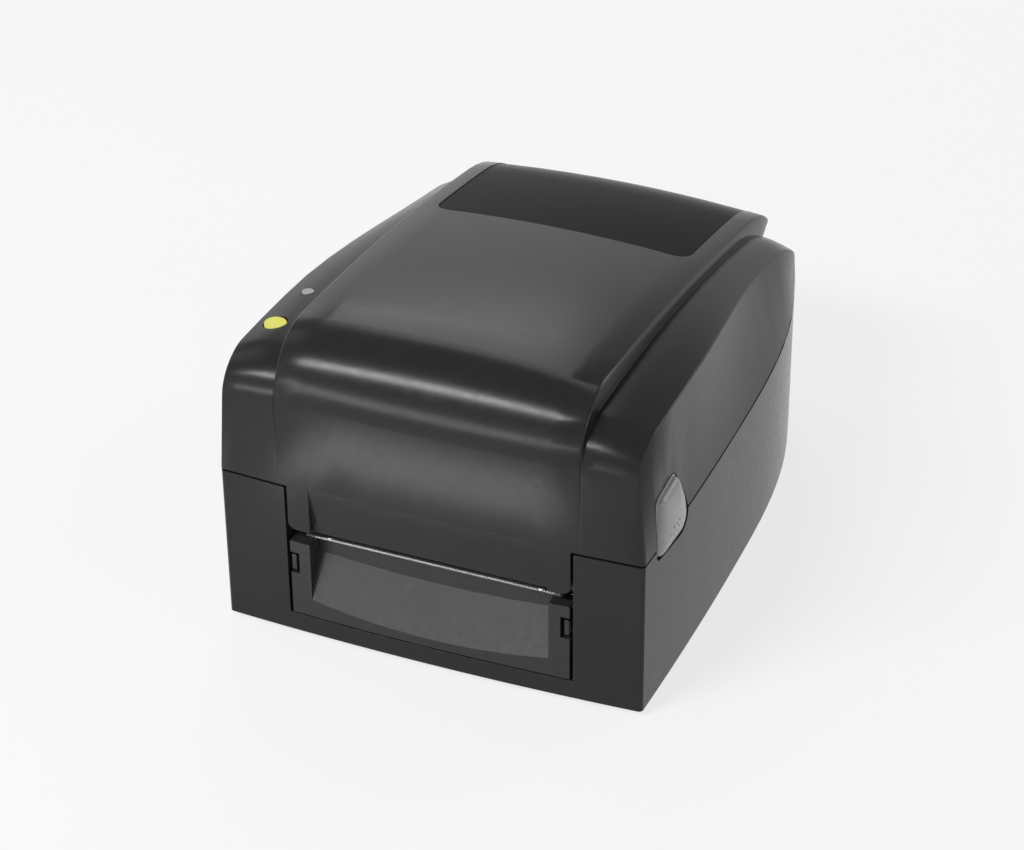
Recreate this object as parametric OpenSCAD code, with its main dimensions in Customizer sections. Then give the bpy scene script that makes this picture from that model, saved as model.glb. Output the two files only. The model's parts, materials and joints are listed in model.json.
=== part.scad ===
// Desktop thermal label printer with ribbon, in millimetres.
// +Z up, front towards -Y, origin on the surface it stands on, below the middle of the case.

/* [Case] */
// Greatest width of the lower case
case_w = 225.2; // [224:0.1:226]
// Depth of the case, front to rear
case_d = 285; // [284:0.5:286]
// Thickness of the rubber feet below the case
foot_h = 3; // [2.6:0.1:3.4]
// Height of the parting line between case and cover
seam_z = 88.8; // [88.4:0.1:89.2]
// Gap of the parting line
seam_gap = 1.4; // [1.2:0.1:1.6]
// Wall of the moulded shells
wall = 2.6; // [2.4:0.1:2.7]
// Half the distance between the front towers
tower_x = 74.4; // [74.2:0.1:74.8]
// How far the front face bows forward over half its width
front_bow = 3.4; // [3:0.1:3.8]

/* [Cover] */
// Half width of the raised centre
hump_x = 77.5; // [77:0.1:78]
// Rise of the raised centre's crown over its edges
crown = 4.2; // [3.4:0.1:5]
// Rise of a shoulder from its outer edge to the raised centre
shoulder_rise = 5.5; // [4.5:0.1:6]
// Half width of the window
window_x = 68; // [67:0.5:69]
// Depth at which the window starts
window_y = 31; // [29:0.5:33]
// Half width of the exit recess
recess_x = 61.4; // [61:0.1:61.8]

/* [Mechanism] */
// Radius of the platen roller
platen_r = 7; // [6.6:0.1:7]
// Label supply spindle radius
spindle_r = 6; // [5.5:0.1:6]
// Teeth of the platen gear
platen_teeth = 24; // [24:1:24]
// Teeth of the idler gear between motor and platen
idler_teeth = 44; // [44:1:44]
// Teeth of the motor pinion
pinion_teeth = 12; // [12:1:12]
// Travel of each label guide
guide_travel = 35; // [30:1:36]

/* [Hidden] */
$fn = 48;

// ---------- placing helpers ----------
// An outline in (y, z) drawn out along X, from x0 to x1
module along_x(x0, x1) {
    translate([x0, 0, 0]) rotate([90, 0, 90]) linear_extrude(x1 - x0) children();
}
// An outline in (x, z) drawn out along Y, from y0 to y1
module along_y(y0, y1) {
    translate([0, y1, 0]) rotate([90, 0, 0]) linear_extrude(y1 - y0) children();
}
// An outline in (x, y) drawn out along Z, from z0 to z1
module along_z(z0, z1) {
    translate([0, 0, z0]) linear_extrude(z1 - z0) children();
}
module rod_x(x0, x1, at, r) {
    translate([x0, at[0], at[1]]) rotate([0, 90, 0]) cylinder(h = x1 - x0, r = r);
}
module rod_y(y0, y1, at, r) {
    translate([at[0], y1, at[1]]) rotate([90, 0, 0]) cylinder(h = y1 - y0, r = r);
}
module rod_z(z0, z1, at, r) {
    translate([at[0], at[1], z0]) cylinder(h = z1 - z0, r = r);
}
module block(x, y, z) {
    translate([x[0], y[0], z[0]]) cube([x[1] - x[0], y[1] - y[0], z[1] - z[0]]);
}
module both_sides() {
    children();
    mirror([1, 0, 0]) children();
}
module side(s) {
    mirror([s < 0 ? 1 : 0, 0, 0]) children();
}
function clamp01(v) = max(0, min(1, v));
// The span from c - d to c + d
function about(c, d) = [c - d, c + d];
// Points of an arc of n steps that rounds the corner p between a and b
function fillet(a, p, b, r, n) =
    let (u = (a - p) / norm(a - p), v = (b - p) / norm(b - p), h = acos(u * v) / 2,
         c = p + (u + v) / norm(u + v) * r / sin(h), s = p + u * r / tan(h) - c, e = p + v * r / tan(h) - c,
         a0 = atan2(s[1], s[0]), turn = atan2(s[0] * e[1] - s[1] * e[0], s * e))
    [for (i = [0:n]) c + r * [cos(a0 + turn * i / n), sin(a0 + turn * i / n)]];
// An outline whose corners have the radii given, with n steps to an arc
function rounded(points, radii, n) =
    let (k = len(points))
    [for (i = [0:k - 1]) each radii[i] > 0
        ? fillet(points[(i + k - 1) % k], points[i], points[(i + 1) % k], radii[i], n) : [points[i]]];

// ---------- plan outline: a front bow, sides that swell to a waist, tapered rear corners ----------
half_w = case_w / 2;
front_y = -case_d / 2;
rear_y = case_d / 2;
corner_x = 109;
bow_r = corner_x * corner_x / (2 * front_bow);
waist_y = -10;
front_side_r = 2300;
rear_taper = 7.1e-6;
taper_y = 106;
taper_x = half_w - rear_taper * pow(taper_y - waist_y, 3);
taper_slope = 3 * rear_taper * pow(taper_y - waist_y, 2);
corner_y = 125;
corner_a = atan(taper_slope);
corner_r = (rear_y - corner_y) / (1 - sin(corner_a));
corner_cx = taper_x - taper_slope * (corner_y - taper_y) - corner_r * cos(corner_a);
corner_cy = rear_y - corner_r;
front_round = 1.5;
front_steps = 8;
side_steps = 22;
corner_steps = 7;

function bow(x) = x * x / (2 * bow_r);
// Half width of the plan outline inset by d, at depth y
function plan_in(y, d) =
    y < waist_y ? half_w - d - pow(y - waist_y, 2) / (2 * front_side_r)
    : y < taper_y ? half_w - d - rear_taper * pow(y - waist_y, 3)
    : y < corner_y ? taper_x - d - taper_slope * (y - taper_y)
    : corner_cx + sqrt(max(0, pow(corner_r - d, 2) - pow(y - corner_cy, 2)));
function plan_x(y) = plan_in(y, 0);

function plan_half(d) =
    let (x1 = corner_x - d - front_round, y1 = front_y + d + bow(corner_x) + front_round)
    concat(
        [for (i = [0:front_steps]) let (x = x1 * i / front_steps) [x, front_y + d + bow(x)]],
        [[corner_x - d - 0.4 * front_round, y1 - 0.7 * front_round]],
        [for (i = [0:side_steps]) let (y = y1 + (corner_y - y1) * i / side_steps) [plan_x(y) - d, y]],
        [for (i = [1:corner_steps]) let (a = corner_a + (90 - corner_a) * i / corner_steps)
            [corner_cx + (corner_r - d) * cos(a), corner_cy + (corner_r - d) * sin(a)]]);
function plan_points(d) =
    let (h = plan_half(d))
    concat(h, [for (i = [len(h) - 1:-1:1]) [-h[i][0], h[i][1]]]);
module plan_solid(d, z0, z1) {
    along_z(z0, z1) polygon(plan_points(d));
}

// ---------- cover form ----------
// Side-view profiles, as [y, z] at a stage t: 0 front lower edge, 1 to 2 front rounding,
// 2 to 3 top, 3 to 4 rear rounding, 5 rear lower edge.
cover_z = seam_z + seam_gap / 2;
case_top = seam_z - seam_gap / 2;
hump_front = [-111.8, 135.8, 30.7, 31];
hump_fall = [0.075, 0.00037];
hump_tail = [98, 100];
hump_corner_r = 11;
edge_front = [-118, 133.3, 24.5, 17.5];
edge_fall = [0.015, 0.00056];
edge_tail = [95, 91.5];
edge_width = [104.6, 94.6];
edge_narrowing = [-70, 150];

function round_end(f, fall) = atan2(f[3], f[2] * fall[0]);
function round_at(f, a) = [f[0] + f[2] * cos(a), f[1] + f[3] * sin(a)];
function fall_at(start, fall, y) = start[1] - fall[0] * (y - start[0]) - fall[1] * pow(y - start[0], 2);
function fall_slope(start, fall, y) = fall[0] + 2 * fall[1] * (y - start[0]);
// A quarter ellipse that leaves the top at its slope and ends upright at the rear
function ellipse_tail(p, slope, end_z, s) =
    let (dy = rear_y - p[0], dz = p[1] - end_z, k = slope * dy / dz,
         a0 = acos(k / (1 - k)), a = a0 * (1 - s),
         semi_y = dy / (1 - cos(a0)), semi_z = dz / sin(a0))
    [rear_y - semi_y * (1 - cos(a)), end_z + semi_z * sin(a)];
// A parabola that leaves the top at its slope and falls to the rear
function falling_tail(p, slope, end_z, s) =
    let (dy = rear_y - p[0], d = dy * s)
    [p[0] + d, p[1] - slope * d - (p[1] - slope * dy - end_z) * pow(d / dy, 2)];
function profile(f, fall, tail, upright, t) =
    let (a1 = round_end(f, fall), start = round_at(f, a1), p = [tail[0], fall_at(start, fall, tail[0])],
         slope = fall_slope(start, fall, tail[0]))
    t < 1 ? [f[0] - f[2], cover_z + (f[1] - cover_z) * t]
    : t < 2 ? round_at(f, 180 - (180 - a1) * (t - 1))
    : t < 3 ? let (y = start[0] + (tail[0] - start[0]) * (t - 2)) [y, fall_at(start, fall, y)]
    : t < 4 ? (upright ? ellipse_tail(p, slope, tail[1], t - 3) : falling_tail(p, slope, tail[1], t - 3))
    : [rear_y, cover_z + (tail[1] - cover_z) * (5 - t)];
function hump_at(t) = profile(hump_front, hump_fall, hump_tail, true, t);
function edge_at(t) = profile(edge_front, edge_fall, edge_tail, false, t);

// Half width of the shoulder's outer edge, and of the side wall below it
function edge_x(y) =
    let (s = clamp01((y - edge_narrowing[0]) / edge_narrowing[1]))
    min(edge_width[0] - (edge_width[0] - edge_width[1]) * s * s * (3 - 2 * s)
        + 0.02 * max(0, edge_narrowing[0] - y), plan_x(y) - front_round);
function edge_top(y) = fall_at(round_at(edge_front, round_end(edge_front, edge_fall)), edge_fall, y);
function lean(y) = let (v = max(edge_front[0], y)) (plan_x(v) - edge_x(v)) / (edge_top(v) - seam_z);
function side_x(y, z, d) = plan_in(y, d) - lean(y) * max(0, z - seam_z);
function hump_w(y, d) =
    let (y1 = rear_y - hump_corner_r)
    y < y1 ? hump_x - d : hump_x - hump_corner_r + sqrt(max(0, pow(hump_corner_r - d, 2) - pow(y - y1, 2)));

// Unit vector into the form, square to the profile between two of its points
function inward(p, q) = let (v = (q - p) / norm(q - p)) [v[1], -v[0]];
stage_step = 0.004;
function hump_in(t) = inward(hump_at(t - stage_step), hump_at(t + stage_step));
function edge_in(t) = inward(edge_at(t - stage_step), edge_at(t + stage_step));
function bow_share(t) = clamp01((2.3 - t) / 1.1);
function crown_share(t) = t < 1 ? 0 : t < 2 ? pow(t - 1, 2) : t < 4 ? 1 : 5 - t;
function rise_share(t) = t < 1 ? 0 : t < 2 ? t - 1 : t < 3 ? 1 : t < 4 ? 1 - pow(t - 3, 2) : 0;
edge_round = 1.2;
hump_round = 1;

// Points of one station from the middle to the right, for the form inset by d
function station(t, d, nc, ns) =
    let (hi = hump_in(t), h = hump_at(t) + hi * d, ei = edge_in(t), e = edge_at(t) + ei * d,
         w = hump_w(h[0], d), step = norm(hump_at(t) - edge_at(t)),
         b = d > 0 ? 0 : hump_round * clamp01(step / 4),
         r = d > 0 ? 0 : edge_round, low = d > 0 && (t == 0 || t == 5) ? 2 : 0,
         xe = side_x(e[0] + bow(edge_width[0]) * bow_share(t), e[1], d),
         es = e + ei * r, xs = side_x(es[0] + bow(edge_width[0]) * bow_share(t), es[1], d),
         foot = w + 0.5, y_at = function (y, x) y + bow(x) * bow_share(t))
    concat(
        [for (i = [0:nc]) let (x = (w - b) * i / nc)
            [x, y_at(h[0], x), h[1] + crown * crown_share(t) * (1 - pow(x / hump_x, 2)) - low]],
        d > 0 ? [] : [[w - 0.3 * b, y_at(h[0] + hi[0] * 0.3 * b, w), h[1] + hi[1] * 0.3 * b]],
        [[w + 0.15, y_at(h[0] + hi[0] * b, w), h[1] + hi[1] * b - low]],
        [for (i = [0:ns]) let (u = i / ns, x = foot + (xe - r - foot) * u)
            [x, y_at(e[0], x), e[1] + shoulder_rise * rise_share(t) * (1 - u * u) - low]],
        d > 0 ? [] : [[xe - 0.3 * r, y_at(e[0] + ei[0] * 0.3 * r, xe), e[1] + ei[1] * 0.3 * r]],
        [[xs, y_at(es[0], xs), es[1] - low]]);
function mirrored_row(h) = concat([for (i = [len(h) - 1:-1:1]) [-h[i][0], h[i][1], h[i][2]]], h);
function stages(n) = concat(
    [0, 1], [for (i = [1:n]) 1 + i / n], [for (i = [1:n - 1]) 2 + i / n],
    [for (i = [0:n - 1]) 3 + i / n], [4, 5]);

// The closed form of the cover, inset by d, with n stations to a stage
module cover_form(d, n, nc, ns) {
    ts = stages(n);
    rows = [for (t = ts) mirrored_row(station(t, d, nc, ns))];
    nr = len(rows);
    c = len(rows[0]);
    floor_z = rows[0][0][2];
    foot_of = function (p, s) [s * plan_in(p[1], d), p[1], floor_z];
    grid = [for (r = rows) each r];
    feet = [for (r = [2:nr - 3]) each [foot_of(rows[r][0], -1), foot_of(rows[r][c - 1], 1)]];
    base = nr * c;
    function left_foot(r) = r < 2 ? 0 : r > nr - 3 ? (nr - 1) * c : base + (r - 2) * 2;
    function right_foot(r) = r < 2 ? c - 1 : r > nr - 3 ? nr * c - 1 : base + (r - 2) * 2 + 1;
    skin = [for (r = [0:nr - 2]) for (k = [0:c - 2]) let (a = r * c + k)
        each [[a, a + c, a + c + 1], [a, a + c + 1, a + 1]]];
    sides = [for (r = [1:nr - 3])
        let (l0 = left_foot(r), l1 = left_foot(r + 1), r0 = right_foot(r), r1 = right_foot(r + 1))
        each [[l0, (r + 1) * c, r * c], [l0, l1, (r + 1) * c],
              [r0, r * c + c - 1, (r + 1) * c + c - 1], [r0, (r + 1) * c + c - 1, r1]]];
    whole = [for (f = sides) if (f[0] != f[1] && f[1] != f[2] && f[0] != f[2]) f];
    under = concat(
        [for (k = [0:c - 1]) k], [for (r = [2:nr - 3]) right_foot(r)],
        [for (k = [c - 1:-1:0]) (nr - 1) * c + k], [for (r = [nr - 3:-1:2]) left_foot(r)]);
    polyhedron(points = concat(grid, feet), faces = concat(skin, whole, [under]));
}

// ---------- colours ----------
shell_c = "#2c2d2f";
panel_c = "#2a2b2d";
window_c = "#141517";
grey_c = "#8d9093";
steel_c = "#b9bcc0";
dark_metal_c = "#55585c";
rubber_c = "#1b1b1c";
board_c = "#1f5a3a";
nylon_c = "#d9d6cc";
yellow_c = "#dfe04a";
brass_c = "#b39a58";

// ---------- release buttons and latches ----------
button_middle = [-104, 97];
button_corners = [[-122.2, 115.2], [-98.5, 116.4], [-88.3, 98.5], [-83.5, 77.5], [-124, 82]];
button_radii = [2.5, 4, 40, 8, 4];
button_dome_r = 62;
button_out = 114;
button_in = 107;
button_gap = 0.6;
stem_at = [-104, 81.5];
stem_r = 3;
pin_fit = 0.05;
latch_pin_at = [92, 60];
latch_pin_r = 2;
latch_y = [-112, -98];
latch_arm_x = [93, 96];
latch_top = 102;
lug_y = [[-116, -113], [-97, -94]];
catch_x = 99.5;

function button_points(g) =
    let (k = 1 + g / 18)
    rounded([for (p = button_corners) button_middle + (p - button_middle) * k],
            [for (r = button_radii) r + g], 6);

module release_button(s) {
    color(grey_c) side(s) {
        intersection() {
            along_x(button_in, button_out + 1) polygon(button_points(0));
            translate([button_out - button_dome_r, button_middle[0], button_middle[1]])
                sphere(r = button_dome_r, $fn = 96);
        }
        rod_x(latch_arm_x[1] + 0.3, button_in + 0.5, stem_at, stem_r);
    }
}
module latch_hook(s) {
    color(dark_metal_c) side(s) difference() {
        union() {
            rod_y(latch_y[0], latch_y[1], latch_pin_at, latch_pin_r + 2);
            block(latch_arm_x, latch_y, [latch_pin_at[1], latch_top]);
            along_y(latch_y[0], latch_y[1])
                polygon([[latch_arm_x[1] - 1, latch_top], [latch_arm_x[1] - 1, 95], [catch_x - 0.5, 97.5],
                         [catch_x - 0.5, 98.5]]);
        }
        rod_y(latch_y[0] - 1, latch_y[1] + 1, latch_pin_at, latch_pin_r + pin_fit);
    }
}
module latch_pins() {
    color(steel_c) both_sides() rod_y(lug_y[0][0], lug_y[1][1], latch_pin_at, latch_pin_r);
}

// ---------- hinge of the cover ----------
hinge_at = [139, 91.6];
hinge_pin_r = 1.6;
barrel_r = 3.4;
ear_gap = 0.3;
groove_r = 4.3;
groove_x = 79;
ear_x = [35, 45];
knuckle_x = [[25, 34.7], [45.3, 55]];

module hinge_pins() {
    color(steel_c) both_sides() rod_x(knuckle_x[0][0] + 0.5, knuckle_x[1][1] - 0.5, hinge_at, hinge_pin_r);
}
module cover_hinge_arms() {
    color(shell_c) both_sides() for (k = knuckle_x) difference() {
        union() {
            rod_x(k[0], k[1], hinge_at, barrel_r);
            along_x(k[0], k[1])
                polygon([[hinge_at[0] - barrel_r, hinge_at[1]], [rear_y - wall, hinge_at[1]],
                         [rear_y - wall, 99], [hinge_at[0] - 1, 99]]);
        }
        rod_x(k[0] - 1, k[1] + 1, hinge_at, hinge_pin_r + pin_fit);
    }
}

// ---------- platen drive ----------
module_mm = 0.8;
platen_at = [-122, 53.6];
motor_at = [-80, 29];
gear_x = [-84, -79];
platen_gear_r = platen_teeth * module_mm / 2;
idler_r = idler_teeth * module_mm / 2;
pinion_r = pinion_teeth * module_mm / 2;
shaft_r = 3;
stud_r = 2.5;
plate_x = [71.8, 73];

// The point at distances ra from p and rb from q, on the left of the way from p to q
function third_point(p, q, ra, rb) =
    let (d = norm(q - p), e = (q - p) / d, a = (ra * ra - rb * rb + d * d) / (2 * d),
         h = sqrt(ra * ra - a * a))
    p + e * a + [-e[1], e[0]] * h;
function direction(p, q) = atan2(q[1] - p[1], q[0] - p[0]);
// Angle of a tooth of the gear that meshes, in direction d, with one that has a tooth at angle f
function meshing(d, f, teeth_a, teeth_b) =
    let (p = 360 / teeth_a, e = f - d - p * round((f - d) / p))
    d + 180 - e * teeth_a / teeth_b + 180 / teeth_b;
function gear_points(n, m, phase) =
    let (r = n * m / 2, ri = r - 1.15 * m, ro = r + 0.85 * m, h = 90 / n)
    [for (i = [0:n - 1]) let (a = phase + i * 360 / n) each
        [[ri * cos(a - 1.3 * h), ri * sin(a - 1.3 * h)], [ro * cos(a - 0.4 * h), ro * sin(a - 0.4 * h)],
         [ro * cos(a + 0.4 * h), ro * sin(a + 0.4 * h)], [ri * cos(a + 1.3 * h), ri * sin(a + 1.3 * h)]]];
module gear_x_axis(x, at, n, phase, bore) {
    difference() {
        along_x(x[0], x[1]) translate(at) polygon(gear_points(n, module_mm, phase));
        rod_x(x[0] - 1, x[1] + 1, at, bore);
    }
}
idler_at = third_point(platen_at, motor_at, platen_gear_r + idler_r, idler_r + pinion_r);
platen_phase = direction(platen_at, idler_at);
idler_phase = meshing(direction(platen_at, idler_at), platen_phase, platen_teeth, idler_teeth);
motor_phase = meshing(direction(idler_at, motor_at), idler_phase, idler_teeth, pinion_teeth);

module platen_shaft() {
    color(steel_c) rod_x(gear_x[0] - 1, plate_x[1] + 0.6, platen_at, shaft_r);
}
module platen_rubber() {
    color(rubber_c) difference() {
        rod_x(-57, 57, platen_at, platen_r);
        rod_x(-58, 58, platen_at, shaft_r);
    }
}
module platen_gear() {
    color(nylon_c) gear_x_axis(gear_x, platen_at, platen_teeth, platen_phase, shaft_r);
}
module platen_bush(s) {
    color(brass_c) side(s) difference() {
        union() {
            rod_x(plate_x[0] - 1, plate_x[1] + 1, platen_at, 5);
            rod_x(plate_x[0] - 2.2, plate_x[0] - 0.02, platen_at, 6.2);
        }
        rod_x(plate_x[0] - 3, plate_x[1] + 2, platen_at, shaft_r + pin_fit);
    }
}
module idler_stud() {
    color(steel_c) {
        rod_x(gear_x[0] - 1, -plate_x[0], idler_at, stud_r);
        rod_x(-plate_x[0], -plate_x[0] + 1.5, idler_at, 4);
        rod_x(-78.8, -plate_x[1] - 0.02, idler_at, 3.6);
    }
}
module idler_gear() {
    color(nylon_c) difference() {
        gear_x_axis(gear_x, idler_at, idler_teeth, idler_phase, stud_r + pin_fit);
        for (i = [0:5]) rod_x(gear_x[0] - 1, gear_x[1] + 1, idler_at + 10.5 * [cos(60 * i), sin(60 * i)], 3);
    }
}
module motor_pinion() {
    color(brass_c) gear_x_axis(gear_x, motor_at, pinion_teeth, motor_phase, stud_r - 0.5 + pin_fit);
}
motor_half = 21;
motor_x = [-70, -36];
module drive_motor() {
    square_half = motor_half - 0.2;
    color(dark_metal_c) {
        along_x(motor_x[0], motor_x[1]) translate(motor_at) polygon(rounded(
            [for (c = [[-1, -1], [1, -1], [1, 1], [-1, 1]]) c * square_half], [4, 4, 4, 4], 3));
        rod_x(-plate_x[0] + 0.1, motor_x[0] + 1, motor_at, 11);
        rod_x(gear_x[0] - 0.6, -plate_x[0] + 1, motor_at, stud_r - 0.5);
        block([motor_x[1] - 1, motor_x[1] + 4], [motor_at[0] - 6, motor_at[0] + 6],
              [motor_at[1] - 20, motor_at[1] - 12]);
    }
}

// ---------- lower case ----------
sill_rise = 0.3;
panel_half = 72.7;
panel_gap = 0.8;
panel_low = 13.7;
tower_y = [-141, -112];
tower_deck_z = 85.6;
ledge_z = 5.25;
screw_at = [[97, -112], [80, 104]];
screw_r = 1.5;
foot_at = [[88, -104], [70, 96]];
foot_r = 7;
guide_block_x = [99.5, 103.5];
guide_block_y = [-112, -96];
port_serial = [[-50, -19], [19, 33]];
port_usb = [[-14, -2], [20, 31.5]];
port_net = [[3, 19], [18, 32]];
port_power = [[24, 34], [18, 34]];
port_switch = [[37, 52], [11.5, 40.5]];
port_y = [128, 142.2];
fanfold_x = 59;
fanfold_z = [58, 67];
board_y = [122.4, 124];
board_z = [8, 54];

function sill_line(z, x) = [for (i = [-8:8]) let (v = x * i / 8) [v, z + sill_rise * pow(v / 72, 2)]];
module sill_cut(z, x, top) {
    along_y(front_y - 2, front_y + 8) polygon(concat(sill_line(z, x), [[x, top], [-x, top]]));
}
module port_holes() {
    for (p = [port_serial, port_usb, port_net, port_power, port_switch])
        block(p[0] + [-0.05, 0.05], [rear_y - wall - 1, rear_y + 1], p[1] + [-0.05, 0.05]);
}
module lower_case() {
    color(shell_c) difference() {
        union() {
            difference() {
                plan_solid(0, foot_h, case_top);
                plan_solid(wall, foot_h - 1, case_top + 1);
            }
            difference() {
                plan_solid(wall - 0.5, ledge_z, ledge_z + 2.5);
                plan_solid(wall + 3, ledge_z - 1, ledge_z + 4);
                block([-tower_x, tower_x], [front_y, front_y + 12], [0, 20]);
            }
            intersection() {
                plan_solid(0.5, foot_h, case_top);
                both_sides() {
                    block([tower_x, tower_x + wall], tower_y, [ledge_z, case_top]);
                    block([tower_x, guide_block_x[1]], [tower_y[0], -117], [tower_deck_z, case_top]);
                    for (y = lug_y) block([latch_pin_at[0] - 3.5, half_w], y, about(latch_pin_at[1], 3.5));
                    block(guide_block_x, guide_block_y, [66, case_top]);
                    block([guide_block_x[0], half_w], guide_block_y, [66, 74]);
                    for (p = screw_at) {
                        rod_z(ledge_z, 30, p, 4);
                        block([p[0], half_w], about(p[1], 1), [ledge_z, 29]);
                    }
                }
            }
            both_sides() {
                block(ear_x, [hinge_at[0] - barrel_r, rear_y - 0.1], [76, hinge_at[1]]);
                rod_x(ear_x[0], ear_x[1], hinge_at, barrel_r);
            }
        }
        both_sides() {
            difference() {
                rod_x(-1, groove_x, hinge_at, groove_r);
                block(ear_x, [hinge_at[0] - 6, rear_y + 1], [70, 99]);
            }
            rod_x(ear_x[0] - 1, ear_x[1] + 1, hinge_at, hinge_pin_r);
            for (y = lug_y) rod_y(y[0] - 1, y[1] + 1, latch_pin_at, latch_pin_r);
            rod_x(guide_block_x[0] - 1, guide_block_x[1] + 1, stem_at, stem_r + pin_fit);
            along_x(guide_block_x[1] + 0.2, half_w + 3) polygon(button_points(button_gap));
            for (p = screw_at) rod_z(foot_h, 20, p, screw_r);
        }
        sill_cut(panel_low - panel_gap, tower_x, case_top + 5);
        rod_x(-tower_x - wall - 1, -tower_x + 1, platen_at, 6);
        port_holes();
        block([-fanfold_x, fanfold_x], [rear_y - wall - 1, rear_y + 1], fanfold_z);
    }
}
module bottom_plate() {
    color(dark_metal_c) difference() {
        union() {
            plan_solid(wall + 0.3, foot_h + 0.2, ledge_z - 0.05);
            both_sides() {
                block([46, 58], [board_y[0] - 2, board_y[1] + 2], [ledge_z - 1, board_z[0] - 0.02]);
                for (y = [-8, 105]) rod_z(ledge_z - 1, 9.98, [50, y], 4);
            }
        }
        both_sides() for (p = screw_at) {
            rod_z(foot_h, ledge_z + 1, p, screw_r + 0.15);
            rod_z(foot_h - 1, foot_h + 1.3, p, 3.2);
        }
        for (x = [-60:12:60]) for (y = [-70:35:70])
            block([x - 3.5, x + 3.5], [y - 10, y + 10], [foot_h - 1, ledge_z + 1]);
    }
}
module bottom_screws() {
    color(steel_c) both_sides() for (p = screw_at) difference() {
        union() {
            rod_z(foot_h + 0.3, foot_h + 1.29, p, 3);
            rod_z(foot_h + 1, 19, p, screw_r);
        }
        block([p[0] - 2.2, p[0] + 2.2], [p[1] - 0.4, p[1] + 0.4], [foot_h, foot_h + 0.9]);
        block([p[0] - 0.4, p[0] + 0.4], [p[1] - 2.2, p[1] + 2.2], [foot_h, foot_h + 0.9]);
    }
}
module rubber_feet() {
    color(rubber_c) both_sides() for (p = foot_at) {
        rod_z(0, foot_h + 0.18, p, foot_r);
    }
}

// ---------- front panel with the chute ----------
chute_x = 62;
chute_top = [-128, 52];
chute_lip = [-141.4, 24];
chute_sag = 1.4;
chute_wall = 2.2;
chute_cut = 3.5;
chute_a = atan2(chute_top[0] - chute_lip[0], chute_top[1] - chute_lip[1]);
cheek_back = -131;
cheek_top = 57;
bar_wall_y = [-130.4, -129.5];
tab_z = [40, 48.5];
tab_x = [69.8, 72.3];
tab_y = [-142.4, -135.3];
pocket_x = 68;
pocket_z = [38, 50.5];
pocket_back = -133.5;
pocket_wall = 1.6;

function chute_line(x) = [for (i = [-8:8]) let (v = x * i / 8) [v, chute_sag * (1 - pow(v / x, 2))]];
module in_chute_frame(z0, z1) {
    translate([0, chute_top[0], chute_top[1]]) rotate([-chute_a, 0, 0])
        translate([0, 0, z0]) linear_extrude(z1 - z0) children();
}
module front_panel() {
    color(panel_c) difference() {
        intersection() {
            plan_solid(0, foot_h, 62);
            union() {
                difference() {
                    block([-panel_half, panel_half], [front_y - 1, cheek_back], [8, cheek_top]);
                    plan_solid(2.2, 12, 62);
                }
                in_chute_frame(-44, -chute_cut)
                    polygon(concat(
                        chute_line(chute_x + 0.5),
                        [[chute_x + 0.5, chute_wall], [0, chute_wall + chute_sag], [-chute_x - 0.5, chute_wall]]));
                both_sides() {
                    block([chute_x, chute_x + 1.4], [front_y, cheek_back], [12, cheek_top]);
                    block([chute_x, panel_half], [front_y, cheek_back], [cheek_top - 2, cheek_top]);
                    block([pocket_x - pocket_wall, panel_half], [front_y, pocket_back],
                          pocket_z + [-pocket_wall, pocket_wall]);
                }
            }
        }
        in_chute_frame(-50, 12)
            polygon(concat(chute_line(chute_x), [[chute_x, -50], [-chute_x, -50]]));
        both_sides() block([pocket_x, panel_half + 1], [front_y - 1, pocket_back - pocket_wall], pocket_z);
        difference() {
            block([-80, 80], [front_y - 2, front_y + 14], [0, 20]);
            sill_cut(panel_low, 81, 21);
        }
    }
    color(panel_c) block(about(0, chute_x + 0.3), bar_wall_y, [43.5, cheek_top]);
}
module panel_tab(s) {
    color(grey_c) side(s) intersection() {
        plan_solid(0.6, 30, 60);
        union() {
            along_z(tab_z[0], tab_z[1]) polygon(rounded(
                [[tab_x[0], tab_y[0]], [tab_x[1], tab_y[0]], [tab_x[1], tab_y[1]], [tab_x[0], tab_y[1]]],
                [0.6, 0.6, 0, 0], 4));
            for (y = [-139.3:1.5:-136.3])
                block([tab_x[1] - 0.1, tab_x[1] + 0.3], about(y, 0.3), tab_z + [1, -1]);
        }
    }
}

// ---------- tear bar ----------
bar_x = [-67.3, 66.2];
bar_y = [-134.7, -129.5];
bar_top = 57.8;
bar_wall = 0.78;
bar_screw_at = [55, -132.6];
tooth_pitch = 1.5;
tooth_depth = 1.1;
module tear_bar() {
    teeth = floor((bar_x[1] - bar_x[0]) / tooth_pitch);
    color(steel_c) {
        along_z(bar_top - bar_wall, bar_top) polygon(concat(
            [for (i = [0:teeth - 1]) each [[bar_x[0] + i * tooth_pitch, bar_y[0] + tooth_depth],
                                           [bar_x[0] + (i + 0.5) * tooth_pitch, bar_y[0]]]],
            [[bar_x[1], bar_y[0] + tooth_depth], [bar_x[1], bar_y[1]], [bar_x[0], bar_y[1]]]));
        both_sides() rod_z(bar_top - 0.2, bar_top + 0.4, bar_screw_at, 1.3);
    }
}

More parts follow.
